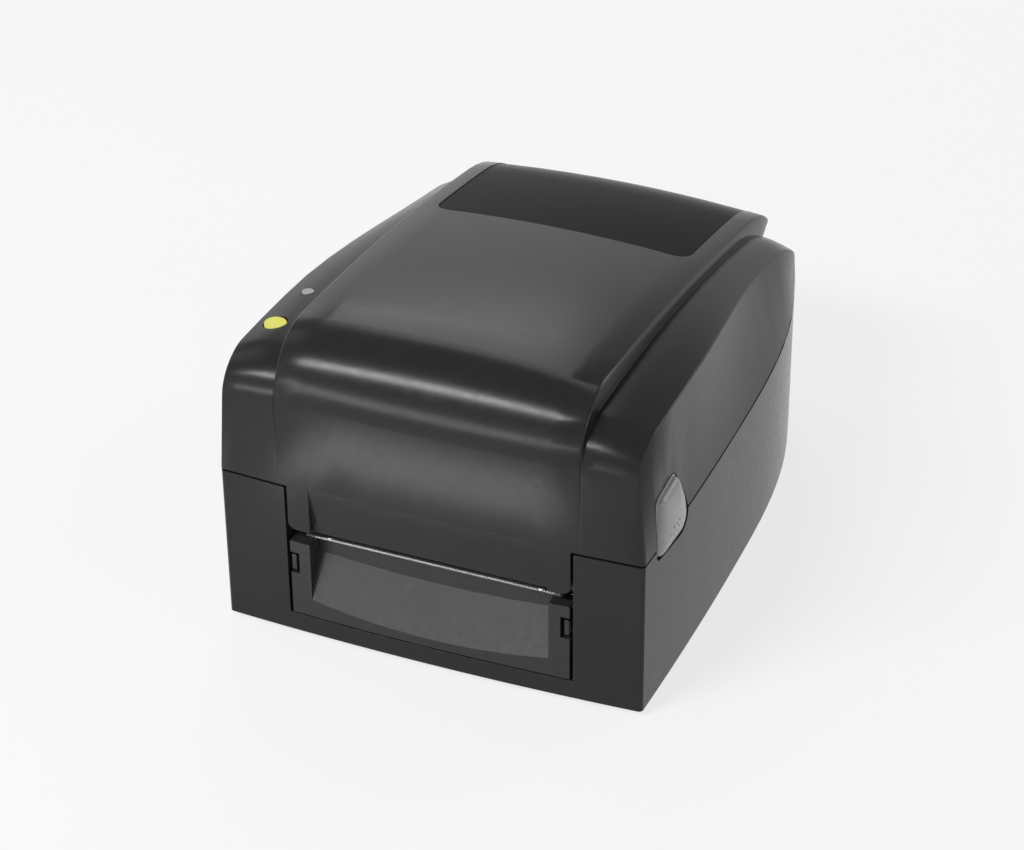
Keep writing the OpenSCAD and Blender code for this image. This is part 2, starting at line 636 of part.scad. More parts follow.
// ---------- media bay ----------
bay_x = 62;
bay_y = [-20, 118];
bay_z = [10, 80];
bay_wall = 2;
spindle_at = [52, 76];
module media_bay() {
    color(panel_c) difference() {
        union() {
            block([-bay_x, bay_x], bay_y, bay_z);
            intersection() {
                plan_solid(wall + 0.3, 70, 90);
                block([-half_w, half_w], [24, bay_y[1]], [bay_z[1] - bay_wall, bay_z[1]]);
            }
            both_sides() for (y = [36, 100]) along_y(y, y + 2)
                polygon([[bay_x - 0.5, bay_z[1] - 1], [88, bay_z[1] - 1], [bay_x - 0.5, 40]]);
        }
        block([-bay_x + bay_wall, bay_x - bay_wall], bay_y + [bay_wall, -bay_wall], bay_z + [bay_wall, 1]);
        block([-bay_x - 1, bay_x + 1], [bay_y[0] - 1, bay_y[0] + bay_wall + 1], [53.6, bay_z[1] + 1]);
        rod_x(-bay_x - 1, bay_x + 1, spindle_at, spindle_r + pin_fit);
        block([-bay_x - 1, bay_x + 1], about(spindle_at[0], spindle_r + pin_fit), [spindle_at[1], bay_z[1] + 1]);
        block([-fanfold_x, fanfold_x], [bay_y[1] - bay_wall - 1, bay_y[1] + 1], fanfold_z);
    }
}
disc_r = 24;
disc_x = [54, 56];
module roll_spindle() {
    color(grey_c) {
        rod_x(-63, 63, spindle_at, spindle_r);
        rod_x(-disc_x[1], -disc_x[0], spindle_at, disc_r);
        rod_x(-disc_x[0] - 0.5, -disc_x[0] + 9, spindle_at, 12);
    }
}
module core_disc_sliding() {
    color(grey_c) difference() {
        union() {
            rod_x(disc_x[0], disc_x[1], spindle_at, disc_r);
            rod_x(disc_x[0] - 9, disc_x[0] + 0.5, spindle_at, 12);
        }
        rod_x(0, 80, spindle_at, spindle_r + pin_fit);
        for (a = [0:60:300]) rod_x(disc_x[0] - 1, disc_x[1] + 1, spindle_at + 18 * [cos(a), sin(a)], 3);
    }
}

// ---------- feed deck, label guides and sensor ----------
deck_y = [-113, -20.2];
deck_z = [54, 56];
deck_half = 71.6;
rack_pitch_r = 6;
rack_teeth = 15;
pinion_at = [0, -37.5];
rack_z = [48, 52];
guide_x = [54, 56];
guide_z = [56.05, 72];
rack_back = 9.5;
sensor_y = [-112, -103];
rail_at = [-107.5, 50];
rail_r = 2;
sensor_travel = 40;
rack_step = PI * 2 * rack_pitch_r / rack_teeth;
function rack_points(from, to, shift) =
    let (m = 2 * rack_pitch_r / rack_teeth, top = rack_pitch_r - 0.85 * m, root = rack_pitch_r + 1.15 * m,
         q = rack_step / 4)
    [for (i = [from:to]) let (x = shift + i * rack_step) each
        [[x - 1.3 * q, -root], [x - 0.4 * q, -top], [x + 0.4 * q, -top], [x + 1.3 * q, -root]]];
module feed_deck() {
    neck = [rack_back - 0.8, rack_pitch_r + 0.9];
    color(panel_c) difference() {
        union() {
            block([-deck_half, deck_half], deck_y, deck_z);
            for (x = [-66, 66]) block([x - 1, x + 1], deck_y, [50, deck_z[0] + 0.5]);
            rod_z(rack_z[0] - 1, deck_z[0] + 0.5, pinion_at, latch_pin_r);
            for (s = [-1, 1])
                block([-62, 62], about(pinion_at[1] + s * (rack_back + 1.1), 1), [rack_z[0], deck_z[0] + 0.5]);
        }
        for (s = [-1, 1]) {
            ys = [pinion_at[1] + s * neck[0], pinion_at[1] + s * neck[1]];
            block(s < 0 ? [-guide_x[1] - 0.4, -guide_x[0] + guide_travel + 0.4]
                        : [guide_x[0] - guide_travel - 0.4, guide_x[1] + 0.4],
                  [min(ys[0], ys[1]) - 0.3, max(ys[0], ys[1]) + 0.3], [deck_z[0] - 1, deck_z[1] + 1]);
        }
        block([-sensor_travel - 5, sensor_travel + 5], [-109.5, -105.5], [deck_z[0] - 1, deck_z[1] + 1]);
        rod_x(-70, 70, rail_at, rail_r + 0.02);
    }
}
// The guide of side s: an upright plate, a neck through the deck and a toothed bar below it
module label_guide(s) {
    color(panel_c) translate([0, pinion_at[1], 0]) rotate([0, 0, s < 0 ? 0 : 180]) {
        along_z(rack_z[0], rack_z[1]) polygon(concat(
            rack_points(-17, 3, s < 0 ? rack_step / 2 : 0),
            [[3.8 * rack_step, -rack_pitch_r - 1.1], [3.8 * rack_step, -rack_back],
             [-guide_x[1], -rack_back], [-guide_x[1], -rack_pitch_r - 1.1]]));
        block([-guide_x[1], -guide_x[0]], [-rack_back + 0.8, -rack_pitch_r - 0.95],
              [rack_z[0] + 0.5, guide_z[0] + 1]);
        along_x(-guide_x[1], -guide_x[0]) polygon(rounded(
            [[-14.5, guide_z[0]], [14.5, guide_z[0]], [14.5, guide_z[1]], [-14.5, guide_z[1]]],
            [0, 0, 6, 6], 4));
        block([-guide_x[1] - 6, -guide_x[0] - 0.5], [-12, 12], [guide_z[0], guide_z[0] + 1.6]);
    }
}
module guide_pinion() {
    color(nylon_c) difference() {
        along_z(rack_z[0] - 0.5, rack_z[1] + 0.5) translate(pinion_at)
            polygon(gear_points(rack_teeth, 2 * rack_pitch_r / rack_teeth, -90));
        rod_z(0, 60, pinion_at, latch_pin_r + pin_fit);
    }
}
module sensor_rail() {
    color(steel_c) rod_x(-plate_x[0], plate_x[0], rail_at, rail_r);
}
module label_sensor() {
    color(board_c) difference() {
        union() {
            block([-6, 6], sensor_y, [46, 53.9]);
            block([-2.5, 2.5], [-109.2, -105.8], [53.8, 55.9]);
        }
        rod_x(-7, 7, rail_at, rail_r + pin_fit);
    }
}

// ---------- side plates ----------
mech_pivot = [2, 84];
mech_pin_r = 2.5;
module side_plate(s) {
    color(steel_c) side(s) difference() {
        along_x(plate_x[0], plate_x[1]) polygon(rounded(
            [[-130, ledge_z], [20, ledge_z], [20, 70], [11, 91], [-8, 91], [-20, 74], [-108, 74],
             [-112, 64], [-130, 64]],
            [0, 0, 4, 4, 4, 6, 4, 4, 3], 3));
        rod_x(0, 90, platen_at, 5);
        rod_x(0, 90, mech_pivot, mech_pin_r);
        rod_x(0, 90, motor_at, s < 0 ? 12 : 3);
        rod_x(0, 90, idler_at, stud_r);
        for (y = [-60, -30, 0]) block([60, 80], [y - 9, y + 9], [14, 42]);
    }
}

// ---------- electronics at the rear ----------
module main_board() {
    color(board_c) {
        block([-60, 60], board_y, board_z);
        block([-40, -22], [board_y[0] - 2.2, board_y[0] + 0.2], [30, 48]);
        block([-8, 6], [board_y[0] - 1.6, board_y[0] + 0.2], [34, 46]);
        for (x = [20, 30, 40]) rod_y(board_y[1] - 0.2, board_y[1] + 8, [x, 47.5], 3.5);
        block([46, 56], [board_y[0] - 3, board_y[0] + 0.2], [12, 30]);
    }
}
module port_body(p) {
    block(p[0], port_y, p[1]);
    block(p[0] + [1, -1], [board_y[1], port_y[0] + 0.5], p[1] + [0, -2]);
}
module serial_port() {
    mid = [(port_serial[0][0] + port_serial[0][1]) / 2, (port_serial[1][0] + port_serial[1][1]) / 2];
    color(steel_c) difference() {
        port_body(port_serial);
        along_y(port_y[1] - 6, port_y[1] + 1) translate(mid) polygon(rounded(
            [[-9.5, 4.4], [-8, -4.4], [8, -4.4], [9.5, 4.4]], [1.5, 1.5, 1.5, 1.5], 3));
        for (x = [-12.5, 12.5]) rod_y(port_y[1] - 8, port_y[1] + 1, mid + [x, 0], 1.6);
    }
    color(steel_c) for (i = [-2:2]) rod_y(port_y[1] - 7, port_y[1] - 1.5, mid + [i * 2.8, 1.4], 0.5);
    color(steel_c) for (i = [-2:1]) rod_y(port_y[1] - 7, port_y[1] - 1.5, mid + [i * 2.8 + 1.4, -1.4], 0.5);
}
module usb_port() {
    mid = [(port_usb[0][0] + port_usb[0][1]) / 2, (port_usb[1][0] + port_usb[1][1]) / 2];
    color(steel_c) {
        difference() {
            port_body(port_usb);
            along_y(port_y[1] - 9, port_y[1] + 1) translate(mid) polygon(rounded(
                [[-4.2, -3.9], [4.2, -3.9], [4.2, 3.9], [-4.2, 3.9]], [0, 0, 1.4, 1.4], 2));
        }
        block(about(mid[0], 2.8), [port_y[1] - 10, port_y[1] - 0.8], about(mid[1], 1.6));
    }
}
module network_port() {
    x = port_net[0];
    z = port_net[1];
    color(steel_c) difference() {
        port_body(port_net);
        block(x + [2.1, -2.1], [port_y[1] - 11, port_y[1] + 1], z + [4.6, -2]);
        block(x + [4.8, -4.8], [port_y[1] - 11, port_y[1] + 1], z + [1.6, -3]);
    }
}
module power_inlet() {
    mid = [(port_power[0][0] + port_power[0][1]) / 2, 27];
    color(rubber_c) {
        difference() {
            port_body(port_power);
            rod_y(port_y[1] - 9, port_y[1] + 1, mid, 3.6);
        }
        rod_y(port_y[1] - 10, port_y[1] - 1, mid, 1.1);
    }
}
rocker_at = [133.5, 26];
rocker_x = [39.2, 49.8];
module switch_frame() {
    color(rubber_c) difference() {
        block(port_switch[0], port_y, port_switch[1]);
        block(rocker_x + [-0.3, 0.3], [port_y[0] + 1.5, port_y[1] + 1], about(rocker_at[1], 12.3));
    }
    color(rubber_c) for (x = [rocker_x[0] - 0.6, rocker_x[1] - 0.6]) rod_x(x, x + 1.2, rocker_at, 1.5);
}
module power_rocker() {
    color(rubber_c) difference() {
        along_x(rocker_x[0], rocker_x[1]) translate(rocker_at)
            polygon([[-2.5, -4], [5.78, -11.5], [6.6, 0], [8.4, 9.8], [-2.5, 4]]);
        for (x = [rocker_x[0] - 0.7, rocker_x[1] - 0.7]) rod_x(x, x + 1.4, rocker_at, 1.5 + pin_fit);
    }
}

// ---------- cover ----------
tongue_x = 73;
tongue_low = 64.5;
tongue_back = -127;
tongue_wall = 2.4;
recess_top = [-141.4, 91.2];
recess_low = [-136.7, 62.2];
feed_at = [-94, -101.5];
feed_r = 5.5;
feed_gap = 0.6;
lens_at = [-92.4, -68.2];
lens_r = 3.2;
feed_low = 141;
feed_top = 153.9;
dish_r = 40;
dish = 0.5;
lens_top = 152.2;
window_low = 112;
window_round = 8;
window_gap = 0.35;

module tongue_plan(half, d) {
    polygon(concat(
        [for (i = [-6:6]) let (x = half * i / 6) [x, front_y + bow(x) + d]],
        [[half, tongue_back], [-half, tongue_back]]));
}
module window_prism(g) {
    x = window_x + g;
    along_z(window_low - g, 200) polygon(rounded(
        [[-x, window_y - g], [x, window_y - g], [x, rear_y + 10], [-x, rear_y + 10]],
        [window_round, window_round, 0, 0], 5));
}
module recess_profile(back) {
    slope = (recess_low[0] - recess_top[0]) / (recess_top[1] - recess_low[1]);
    polygon([[recess_top[0] - 6, recess_top[1] + 0.01], [recess_top[0] + back, recess_top[1] + 0.01],
             [recess_low[0] + back, recess_low[1]], [recess_low[0] + back, recess_low[1] - 4],
             [recess_top[0] - 6, recess_low[1] - 4]]);
}
module cover_tongue() {
    difference() {
        intersection() {
            along_z(tongue_low, cover_z + 3) tongue_plan(tongue_x, 0.06);
            along_y(front_y - 5, tongue_back + 5) polygon(rounded(
                [[-tongue_x, tongue_low], [tongue_x, tongue_low],
                 [tongue_x, cover_z + 4], [-tongue_x, cover_z + 4]],
                [4, 4, 0, 0], 5));
        }
        difference() {
            along_z(tongue_low - 1, tongue_low + 39) tongue_plan(tongue_x - tongue_wall, tongue_wall);
            both_sides()
                block([recess_x - 0.1, recess_x + 2], [front_y, tongue_back], [tongue_low - 2, cover_z + 6]);
            along_x(-recess_x, recess_x) recess_profile(2.6);
        }
    }
    intersection() {
        along_x(-recess_x - 0.5, recess_x + 0.5) difference() {
            recess_profile(2.6);
            recess_profile(-1);
        }
        along_z(recess_low[1], 94) tongue_plan(tongue_x, 0.3);
    }
}
module cover_shell() {
    color(shell_c) difference() {
        union() {
            difference() {
                cover_form(0, 9, 5, 4);
                cover_form(wall, 5, 3, 2);
            }
            cover_tongue();
            both_sides() {
                block([catch_x, catch_x + 3.5], [-129, -79], [92, 96]);
                block([catch_x, 108.3], [-129, -126], [92, 96]);
                block([catch_x, 108.6], [-82.5, -79.5], [92, 96]);
            }
        }
        along_x(-recess_x, recess_x) recess_profile(0);
        window_prism(window_gap);
        both_sides() {
            along_x(104.2, 120) intersection() {
                polygon(button_points(button_gap));
                translate([-140, cover_z - 1]) square([60, 40]);
            }
            rod_x(ear_x[0] - ear_gap, ear_x[1] + ear_gap, hinge_at, barrel_r + ear_gap);
            block([ear_x[0] - ear_gap, ear_x[1] + ear_gap], [hinge_at[0] - 4, rear_y + 1],
                  [80, hinge_at[1] + barrel_r + ear_gap]);
            for (k = knuckle_x) rod_x(k[0] - 0.02, k[1] + 0.02, hinge_at, barrel_r + 0.02);
        }
        rod_z(140, 160, feed_at, feed_r + feed_gap);
        rod_z(140, 160, lens_at, lens_r + 0.1);
    }
}
module cover_window() {
    color(window_c) difference() {
        intersection() {
            window_prism(0);
            cover_form(0.3, 9, 5, 4);
        }
        cover_form(2.3, 9, 5, 2);
    }
}
module feed_button() {
    color(yellow_c) difference() {
        rod_z(feed_low, feed_top, feed_at, feed_r);
        translate([feed_at[0], feed_at[1], feed_top + dish_r - dish]) sphere(r = dish_r, $fn = 96);
    }
}
module status_lens() {
    color(nylon_c) rod_z(141.9, lens_top, lens_at, lens_r);
}
module control_board() {
    color(board_c) {
        block([-101, -84], [-110, -60], [136, 137.6]);
        rod_z(137.4, 139.9, feed_at, 3);
        rod_z(137.4, 141.9, lens_at, 2.4);
        block([-90, -84], [-96, -80], [132, 136.2]);
    }
}

// ---------- print mechanism ----------
mech_x = [64, 66];
rewind_at = [-95, 112];
supply_at = [-40, 118];
ribbon_motor_at = [-68, 96];
rewind_teeth = 36;
ribbon_idler_teeth = 18;
ribbon_pinion_teeth = 10;
ribbon_gear_x = [-71, -67];
rewind_gear_r = rewind_teeth * module_mm / 2;
ribbon_idler_r = ribbon_idler_teeth * module_mm / 2;
ribbon_pinion_r = ribbon_pinion_teeth * module_mm / 2;
ribbon_idler_at = third_point(
    ribbon_motor_at, rewind_at, ribbon_pinion_r + ribbon_idler_r, ribbon_idler_r + rewind_gear_r);
rewind_phase = direction(rewind_at, ribbon_idler_at);
ribbon_idler_phase = meshing(rewind_phase, rewind_phase, rewind_teeth, ribbon_idler_teeth);
ribbon_pinion_phase = meshing(direction(ribbon_idler_at, ribbon_motor_at), ribbon_idler_phase,
                              ribbon_idler_teeth, ribbon_pinion_teeth);
ribbon_stud_r = 2;
core_r = 9;
journal_r = 4;
ribbon_x = [60, 63.8];
head_x = 56;

module mechanism_frame() {
    color(dark_metal_c) difference() {
        union() {
            both_sides() along_x(mech_x[0], mech_x[1]) polygon(rounded(
                [[-124, 78], [-30, 78], [-8, 76], [8, 77], [9, 90], [-24, 129], [-108, 129], [-124, 108]],
                [3, 8, 4, 4, 5, 8, 8, 8], 3));
            block([-mech_x[0] - 0.5, mech_x[0] + 0.5], [-70, -68], [79, 84]);
            block([-mech_x[0] - 0.5, mech_x[0] + 0.5], [-12, -10], [82.5, 92]);
            block([-mech_x[0] - 0.5, mech_x[0] + 0.5], [-119, -103], [85, 87]);
            rod_x(ribbon_gear_x[0] - 0.6, -mech_x[0], ribbon_idler_at, ribbon_stud_r);
        }
        rod_x(-80, 80, mech_pivot, mech_pin_r + pin_fit);
        rod_x(-80, 80, rewind_at, journal_r + pin_fit);
        rod_x(-80, 80, supply_at, journal_r + pin_fit);
        rod_x(-80, -50, ribbon_motor_at, 5);
        both_sides() block([60, 70], [-100, -78], [82, 92]);
        for (x = [-40, 0, 40]) rod_z(80, 90, [x, -112], 2.1);
    }
}
module mechanism_pivots() {
    color(steel_c) both_sides() {
        rod_x(62, plate_x[1] + 0.5, mech_pivot, mech_pin_r);
        rod_x(66.1, plate_x[0] - 0.02, mech_pivot, 4.5);
    }
}
module printhead() {
    color(board_c) {
        block([-head_x, head_x], [-125.5, -103], [61, 65]);
        block([-14, 14], [-103.95, -100], [63, 72]);
    }
}
module head_heatsink() {
    color(steel_c) difference() {
        union() {
            block([-head_x, head_x], [-124, -104], [65.02, 80]);
            for (x = [-40, 0, 40]) rod_z(79, 88.5, [x, -112], 2);
        }
        for (y = [-121, -116, -108.2]) block([-head_x - 1, head_x + 1], [y, y + 2.2], [69, 78]);
    }
}
module head_springs() {
    color(dark_metal_c) for (x = [-40, 0, 40]) translate([x, -112, 0]) difference() {
        union() {
            for (z = [80.6:1:84.4]) translate([0, 0, z])
                rotate_extrude($fn = 32) translate([3, 0]) circle(r = 0.5, $fn = 10);
            difference() {
                cylinder(h = 84.98, r = 3.1);
                translate([0, 0, -1]) cylinder(h = 81.03, r = 4);
            }
        }
        cylinder(h = 90, r = 2.06);
    }
}
module ribbon_motor() {
    color(dark_metal_c) {
        rod_x(-63.9, -40, ribbon_motor_at, 11);
        rod_x(-40.5, -37, ribbon_motor_at, 4);
        rod_x(ribbon_gear_x[0] - 0.5, -63.5, ribbon_motor_at, 1.5);
    }
}
module ribbon_pinion() {
    color(brass_c)
        gear_x_axis(ribbon_gear_x, ribbon_motor_at, ribbon_pinion_teeth, ribbon_pinion_phase, 1.5 + pin_fit);
}
module ribbon_idler() {
    color(nylon_c)
        gear_x_axis(ribbon_gear_x, ribbon_idler_at, ribbon_idler_teeth, ribbon_idler_phase,
                    ribbon_stud_r + pin_fit);
}
module rewind_spindle() {
    color(nylon_c) {
        rod_x(ribbon_gear_x[0] - 0.5, mech_x[1] + 1, rewind_at, journal_r);
        rod_x(-mech_x[0] + 0.3, mech_x[0] - 0.3, rewind_at, core_r);
        for (a = [30:120:270]) translate([0, rewind_at[0], rewind_at[1]]) rotate([a, 0, 0])
            block([-58, 58], [-0.7, 0.7], [core_r - 1, core_r + 1.2]);
    }
}
module rewind_gear() {
    color(nylon_c) difference() {
        gear_x_axis(ribbon_gear_x, rewind_at, rewind_teeth, rewind_phase, journal_r);
        for (i = [0:4]) rod_x(-80, -60, rewind_at + 9 * [cos(72 * i), sin(72 * i)], 2.4);
    }
}
module supply_spindle() {
    color(nylon_c) {
        rod_x(-mech_x[1] - 1, mech_x[1] + 1, supply_at, journal_r);
        rod_x(-mech_x[0] + 0.3, mech_x[0] - 0.3, supply_at, core_r);
        for (a = [30:120:270]) translate([0, supply_at[0], supply_at[1]]) rotate([a, 0, 0])
            block([-58, 58], [-0.7, 0.7], [core_r - 1, core_r + 1.2]);
    }
}

lower_case();
bottom_plate();
bottom_screws();
rubber_feet();
front_panel();
panel_tab(-1);  // panel_tab_left
panel_tab(1);  // panel_tab_right
tear_bar();
media_bay();
feed_deck();
side_plate(-1);  // side_plate_left
side_plate(1);  // side_plate_right
platen_bush(-1);  // platen_bush_left
platen_bush(1);  // platen_bush_right
platen_shaft();
platen_rubber();
platen_gear();
idler_stud();
idler_gear();
motor_pinion();
drive_motor();
sensor_rail();
label_sensor();
label_guide(-1);  // guide_left
label_guide(1);  // guide_right
guide_pinion();
roll_spindle();
core_disc_sliding();
main_board();
power_inlet();
switch_frame();
power_rocker();
usb_port();
serial_port();
network_port();
hinge_pins();
release_button(-1);  // release_button_left
release_button(1);  // release_button_right
latch_hook(-1);  // latch_hook_left
latch_hook(1);  // latch_hook_right
latch_pins();
cover_shell();
cover_window();
cover_hinge_arms();
feed_button();
status_lens();
control_board();
mechanism_frame();
mechanism_pivots();
printhead();
head_heatsink();
head_springs();
ribbon_motor();
ribbon_pinion();
ribbon_idler();
rewind_spindle();
rewind_gear();
supply_spindle();
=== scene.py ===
"""Dressed model of a desktop thermal label printer, in metres, in the frame of its solids."""
import json
import logging
import math
from dataclasses import dataclass, field
from enum import Enum

import bmesh
import bpy
from mathutils import Matrix, Vector
from mathutils.bvhtree import BVHTree
from mathutils.kdtree import KDTree


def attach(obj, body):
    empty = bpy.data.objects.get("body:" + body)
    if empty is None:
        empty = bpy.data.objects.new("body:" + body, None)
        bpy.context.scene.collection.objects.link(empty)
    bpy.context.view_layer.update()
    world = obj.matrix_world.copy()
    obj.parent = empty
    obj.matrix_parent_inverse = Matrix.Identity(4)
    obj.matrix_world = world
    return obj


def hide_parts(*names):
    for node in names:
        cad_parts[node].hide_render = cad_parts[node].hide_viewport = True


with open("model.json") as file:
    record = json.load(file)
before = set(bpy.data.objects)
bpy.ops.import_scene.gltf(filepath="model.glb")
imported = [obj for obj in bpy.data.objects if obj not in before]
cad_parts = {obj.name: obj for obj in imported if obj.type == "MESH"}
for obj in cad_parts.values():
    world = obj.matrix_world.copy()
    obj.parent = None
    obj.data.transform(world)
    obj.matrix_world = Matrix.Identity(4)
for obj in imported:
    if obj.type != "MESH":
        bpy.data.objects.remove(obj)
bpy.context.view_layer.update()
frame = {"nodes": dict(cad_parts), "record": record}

LOG = logging.getLogger("label_printer")
MM = 0.001
MERGE = 0.000001  # vertices of a solid's copy that lie closer than this, in metres, are one
SNAP = 0.0000001  # vertices this near a cut, in metres, lie on it
PATTERN_RANGE = (0.3, 0.7)  # a noise pattern's values lie mostly in here
MIX_FACTOR, MIX_FIRST, MIX_SECOND, MIX_RESULT = 0, 6, 7, 2  # colour sockets of a Mix node
Colour = tuple[float, float, float]
Point = tuple[float, float, float]


class Slot(Enum):
    """Material slots of the record."""

    SHELL = "shell"
    PANEL = "panel"
    WINDOW = "window"
    GREY = "button_grey"
    YELLOW = "yellow"
    STEEL = "steel"
    DARK_METAL = "dark_metal"
    RUBBER = "rubber"
    NYLON = "nylon"
    BRASS = "brass"
    BOARD = "board"
    BLACK = "black_plastic"


class Side(Enum):
    """Sides of the printer, with the sign of their X."""

    LEFT = -1.0
    RIGHT = 1.0

    def tag(self, name: str) -> str:
        """Name a piece or a body of this side."""
        return f"{name}_{self.name.lower()}"


def merged_copy(node: str) -> bmesh.types.BMesh:
    """Copy a solid's mesh with its loose triangles joined.

    Args:
        node: Name of the solid.

    Returns:
        The copy, to be worked on.
    """
    work = bmesh.new()
    work.from_mesh(frame["nodes"][node].data)
    bmesh.ops.remove_doubles(work, verts=work.verts, dist=MERGE)
    return work


def smooth_mesh(
    work: bmesh.types.BMesh, name: str, sharp_deg: float | None = None
) -> bpy.types.Mesh:
    """Turn a worked mesh into a mesh with smooth shading.

    The normals that came with a solid no longer fit once its vertices are merged, so they go.

    Args:
        work: Mesh that was worked on. It is freed.
        name: Name of the new mesh.
        sharp_deg: Angle in degrees from which an edge stays sharp, if any does.

    Returns:
        The new mesh.
    """
    mesh = bpy.data.meshes.new(name)
    work.to_mesh(mesh)
    work.free()
    stored = mesh.attributes.get("custom_normal")
    if stored is not None:
        mesh.attributes.remove(stored)
    mesh.shade_smooth()
    if sharp_deg is not None:
        mesh.set_sharp_from_angle(angle=math.radians(sharp_deg))
    return mesh


def seen_share(tree: bpy.types.NodeTree, unseen: float, seen: float) -> bpy.types.NodeSocket:
    """Give one number to rays that see a background, and another to those that light by it.

    Args:
        tree: Node tree of a world or a material.
        unseen: Number for the light that falls on things.
        seen: Number for camera, glossy and transmission rays.

    Returns:
        The socket of the number.
    """
    path = tree.nodes.new("ShaderNodeLightPath")
    either = path.outputs["Is Camera Ray"]
    for ray in ("Is Glossy Ray", "Is Transmission Ray"):
        node = tree.nodes.new("ShaderNodeMath")
        node.operation = "MAXIMUM"
        tree.links.new(either, node.inputs[0])
        tree.links.new(path.outputs[ray], node.inputs[1])
        either = node.outputs["Value"]
    level = tree.nodes.new("ShaderNodeMapRange")
    level.inputs["To Min"].default_value = unseen
    level.inputs["To Max"].default_value = seen
    tree.links.new(either, level.inputs["Value"])
    return level.outputs["Result"]


class Graph:
    """Small builder for the node graph of one material."""

    def __init__(self, name: str) -> None:
        """Start a material with its shader and output.

        Args:
            name: Name of the material.
        """
        self.material = bpy.data.materials.new(name)
        self.material.use_nodes = True
        self.tree = self.material.node_tree
        self.shader = self.tree.nodes["Principled BSDF"]
        self.coordinates = self.tree.nodes.new("ShaderNodeTexCoord")

    def set(self, socket: str, value: float) -> None:
        """Set one of the shader's own sockets.

        Args:
            socket: Name of the socket.
            value: Number to put there.
        """
        self.shader.inputs[socket].default_value = value

    def feed(self, source: bpy.types.NodeSocket, socket: str) -> None:
        """Link a pattern to one of the shader's sockets.

        Args:
            source: Socket of the pattern.
            socket: Name of the shader's socket.
        """
        self.tree.links.new(source, self.shader.inputs[socket])

    def noise(
        self, scale: float, detail: float = 2.0, stretch: Point = (1.0, 1.0, 1.0)
    ) -> bpy.types.NodeSocket:
        """Add a noise pattern on the object's own coordinates.

        Args:
            scale: Pattern size, in features to a metre.
            detail: Number of finer layers.
            stretch: Scale of the pattern along each axis.

        Returns:
            The pattern's factor socket.
        """
        mapping = self.tree.nodes.new("ShaderNodeMapping")
        mapping.inputs["Scale"].default_value = stretch
        self.tree.links.new(self.coordinates.outputs["Object"], mapping.inputs["Vector"])
        node = self.tree.nodes.new("ShaderNodeTexNoise")
        node.inputs["Scale"].default_value = scale
        node.inputs["Detail"].default_value = detail
        self.tree.links.new(mapping.outputs["Vector"], node.inputs["Vector"])
        return node.outputs["Fac"]

    def cells(self, scale: float) -> bpy.types.NodeSocket:
        """Add a cell pattern, as moulded grain has.

        Args:
            scale: Cells to a metre.

        Returns:
            The pattern's distance socket.
        """
        node = self.tree.nodes.new("ShaderNodeTexVoronoi")
        node.inputs["Scale"].default_value = scale
        self.tree.links.new(self.coordinates.outputs["Object"], node.inputs["Vector"])
        return node.outputs["Distance"]

    def span(
        self, factor: bpy.types.NodeSocket, low: float, high: float
    ) -> bpy.types.NodeSocket:
        """Map a pattern's middle range on to other numbers.

        Args:
            factor: Pattern socket.
            low: Number at the pattern's low side.
            high: Number at its high side.

        Returns:
            The mapped socket.
        """
        node = self.tree.nodes.new("ShaderNodeMapRange")
        node.inputs["From Min"].default_value = PATTERN_RANGE[0]
        node.inputs["From Max"].default_value = PATTERN_RANGE[1]
        node.inputs["To Min"].default_value = low
        node.inputs["To Max"].default_value = high
        self.tree.links.new(factor, node.inputs["Value"])
        return node.outputs["Result"]

    def tint(self, factor: bpy.types.NodeSocket, first: Colour, second: Colour) -> None:
        """Vary the base colour between two colours.

        Args:
            factor: Pattern socket.
            first: Colour at the low side.
            second: Colour at the high side.
        """
        node = self.tree.nodes.new("ShaderNodeMix")
        node.data_type = "RGBA"
        self.tree.links.new(self.span(factor, 0.0, 1.0), node.inputs[MIX_FACTOR])
        node.inputs[MIX_FIRST].default_value = (*first, 1.0)
        node.inputs[MIX_SECOND].default_value = (*second, 1.0)
        self.feed(node.outputs[MIX_RESULT], "Base Color")

    def bump(self, heights: list[tuple[bpy.types.NodeSocket, float]], edge: float = 0.0) -> None:
        """Stack bump layers under the shader, over softly rounded edges.

        Args:
            heights: Pattern sockets with their depth in metres.
            edge: Radius of the edges in metres.
        """
        last = None
        if edge > 0:
            rounded = self.tree.nodes.new("ShaderNodeBevel")
            rounded.samples = 6
            rounded.inputs["Radius"].default_value = edge
            last = rounded.outputs["Normal"]
        for socket, depth in heights:
            node = self.tree.nodes.new("ShaderNodeBump")
            node.inputs["Strength"].default_value = 1.0
            node.inputs["Distance"].default_value = depth
            self.tree.links.new(socket, node.inputs["Height"])
            if last is not None:
                self.tree.links.new(last, node.inputs["Normal"])
            last = node.outputs["Normal"]
        self.feed(last, "Normal")

    def show_white(self, share: float) -> None:
        """Mix plain white into what camera and mirror rays see of the surface.

        Args:
            share: Share of white, from 0 to 1.
        """
        white = self.tree.nodes.new("ShaderNodeEmission")
        mixed = self.tree.nodes.new("ShaderNodeMixShader")
        output = self.tree.nodes["Material Output"]
        self.tree.links.new(seen_share(self.tree, 0.0, share), mixed.inputs["Fac"])
        self.tree.links.new(self.shader.outputs["BSDF"], mixed.inputs[1])
        self.tree.links.new(white.outputs["Emission"], mixed.inputs[2])
        self.tree.links.new(mixed.outputs["Shader"], output.inputs["Surface"])


